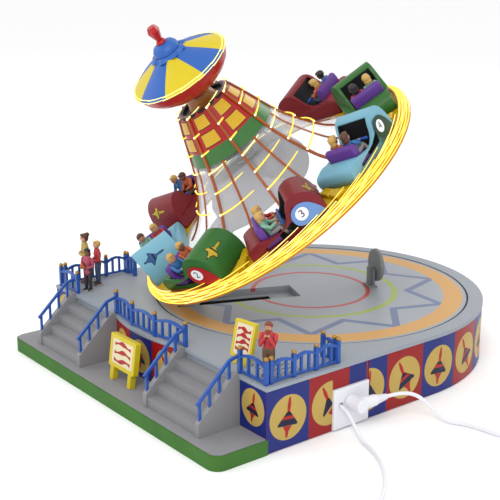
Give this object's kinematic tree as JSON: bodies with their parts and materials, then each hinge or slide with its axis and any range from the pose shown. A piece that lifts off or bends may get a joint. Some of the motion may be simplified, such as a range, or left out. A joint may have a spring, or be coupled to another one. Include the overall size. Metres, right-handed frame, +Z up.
{
  "type": "merry go round",
  "caption": "Tabletop carnival ride: a wheel of cars under a spinning-top tower leans on a hinged boom, spins, and rides a turntable on a railed deck with stairs.",
  "frame": {"origin": "turntable axis where it meets the ground", "axes": "+Z up, -Y towards the front stairs, +X to the ride's right-hand side seen from behind the camera's front"},
  "size_m": [0.3607, 0.305, 0.2363],
  "materials": {
    "grey_deck": "satin",
    "dark_inside": "matte",
    "green_edge": "matte",
    "print_card": "satin print",
    "blue_rail": "satin",
    "gold": "painted gold",
    "figure_paint": "hand painted",
    "sign_yellow": "satin",
    "sign_cream": "satin print",
    "white_plastic": "satin",
    "steel": "turned",
    "disc_print": "printed",
    "grey_trim": "matte",
    "boom_grey": "satin",
    "yellow_ring": "satin",
    "lamp_amber": "lit",
    "lamp_strip": "translucent",
    "clear": "clear plastic",
    "horn_green": "satin",
    "horn_red": "printed",
    "black": "matte",
    "neck_orange": "satin",
    "hat_dark": "satin",
    "hat_red": "satin",
    "hat_blue": "satin",
    "car_red": "satin",
    "car_blue": "satin",
    "car_green": "satin",
    "bench_purple": "satin"
  },
  "bodies": {
    "base": {"base_shell": "grey_deck", "bottom_cover": "dark_inside", "cover_screws": "steel", "pad_slab": "grey_deck", "pad_edging": "green_edge", "print_band": "print_card", "stairs": "grey_deck", "deck_railings": "blue_rail", "stair_handrails": "blue_rail", "rail_finials": "gold", "figure_man": "figure_paint", "figures_left": "figure_paint", "sign_boards": "sign_yellow", "sign_faces": "sign_cream", "inlet_panel": "white_plastic", "turntable_motor": "dark_inside", "supply_plug": "white_plastic", "supply_cord": "white_plastic", "supply_coil": "white_plastic", "adaptor": "white_plastic", "second_lead": "white_plastic", "lead_connector": "white_plastic"},
    "turntable": {"turntable_disc": "disc_print", "turntable_pan": "dark_inside", "turntable_spindle": "steel", "tilt_motor": "dark_inside", "rest_post": "grey_trim", "rest_disc": "grey_trim"},
    "boom": {"boom_frame": "boom_grey", "motor_cap": "grey_trim", "hinge_pin": "steel", "wheel_motor": "dark_inside"},
    "wheel": {"ring_floor": "yellow_ring", "led_band": "yellow_ring", "band_lamp_rows": "lamp_amber", "horn_clear": "clear", "horn_green": "horn_green", "horn_checks": "horn_red", "horn_lamp_strips": "lamp_strip", "bulkhead": "black", "wheel_shaft": "steel", "horn_mouth": "black", "hat_neck": "neck_orange", "hat_dish": "hat_dark", "hat_bowl": "hat_red", "hat_canopy": "hat_blue", "hat_knob": "hat_blue", "hat_finial": "hat_red", "hat_lamps": "lamp_amber", "car_1": "car_blue", "car_2": "car_green", "car_3": "car_red", "car_4": "car_blue", "car_5": "car_green", "car_6": "car_red", "car_7": "car_blue", "car_8": "car_red", "car_benches": "bench_purple", "car_bars": "blue_rail", "riders": "figure_paint"}
  },
  "joints": [
    {"name": "turntable_spin", "type": "hinge", "parent": "base", "child": "turntable", "pos_m": [0, 0, 0.02], "axis": [0, 0, 1], "continuous": true},
    {"name": "boom_tilt", "type": "hinge", "parent": "turntable", "child": "boom", "pos_m": [-0.03559, -0.08808, 0.031], "axis": [0.9272, -0.3746, 0], "range_deg": [-36, 0]},
    {"name": "wheel_spin", "type": "hinge", "parent": "boom", "child": "wheel", "pos_m": [-0.01184, -0.0293, 0.122], "axis": [-0.2301, -0.5696, 0.7891], "continuous": true}
  ]
}
